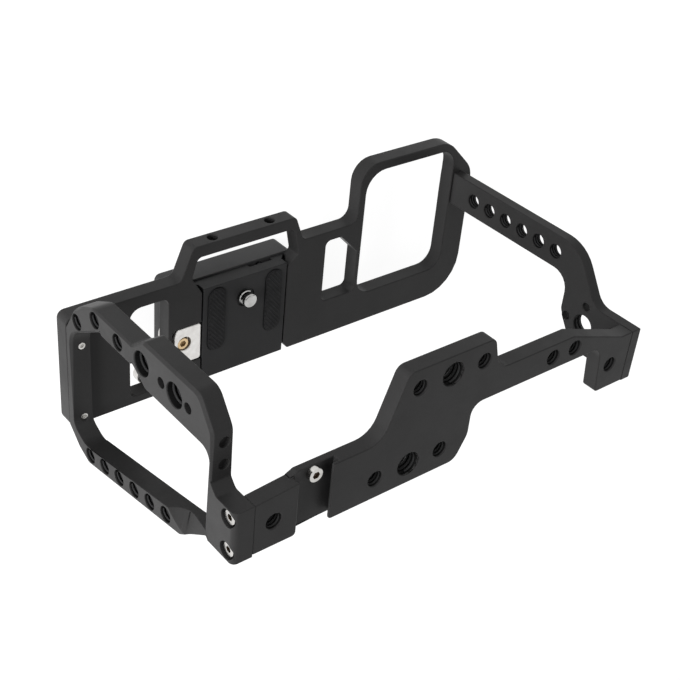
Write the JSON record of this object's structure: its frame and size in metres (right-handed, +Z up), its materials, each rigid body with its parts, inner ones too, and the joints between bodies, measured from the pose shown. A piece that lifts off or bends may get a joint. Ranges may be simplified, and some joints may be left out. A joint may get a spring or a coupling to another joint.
{
  "type": "camera cage",
  "caption": "Open metal cage round a box-shaped cinema camera, with a sliding quick-release plate, a lever lock and threaded holes for accessories.",
  "frame": {"origin": "centre of the tripod thread's mouth in the underside of the quick release clamp", "axes": "+X along the camera body from the side plate to the grip arm, +Y towards the lens, +Z up"},
  "size_m": [0.2002, 0.085, 0.127],
  "materials": {
    "black_aluminium": "black anodised, satin",
    "steel": "polished",
    "black_steel": "black oxide",
    "silver_steel": "bead blasted",
    "brass": "turned",
    "rubber": "ribbed"
  },
  "bodies": {
    "cage": {"base_plate": "black_aluminium", "side_plate": "black_aluminium", "top_plate": "black_aluminium", "grip_arm": "black_aluminium", "clamp_body": "black_aluminium", "clamp_screws": "steel", "thread_bushing": "steel", "lever_washer": "steel", "lever_screw": "brass", "side_top_screws": "steel", "side_base_screws": "steel", "arm_base_screws": "black_steel", "arm_end_screws": "black_steel", "seat_screw": "steel", "stop_pin": "steel"},
    "slide_plate": {"camera_plate": "black_aluminium", "left_grip_pad": "rubber", "right_grip_pad": "rubber"},
    "tie_down_screw": {"camera_screw": "steel"},
    "lever": {"lock_lever": "silver_steel"},
    "jaw": {"lock_jaw": "silver_steel"}
  },
  "joints": [
    {"name": "plate_slide", "type": "slide", "parent": "cage", "child": "slide_plate", "axis": [0, -1, 0], "range_m": [0, 0.05]},
    {"name": "camera_screw_turn", "type": "hinge", "parent": "slide_plate", "child": "tie_down_screw", "pos_m": [0, 0.0209, 0.0148], "axis": [0, 0, 1], "continuous": true},
    {"name": "lever_swing", "type": "hinge", "parent": "cage", "child": "lever", "pos_m": [-0.029, 0.0078, 0.0086], "axis": [0, 0, -1], "range_deg": [0, 85]},
    {"name": "jaw_slide", "type": "slide", "parent": "cage", "child": "jaw", "axis": [-1, 0, 0], "range_m": [0, 0.00095]}
  ],
  "couplings": [
    {"joint": "jaw_slide", "follows": "lever_swing", "m_per_rad": 0.0006376}
  ]
}
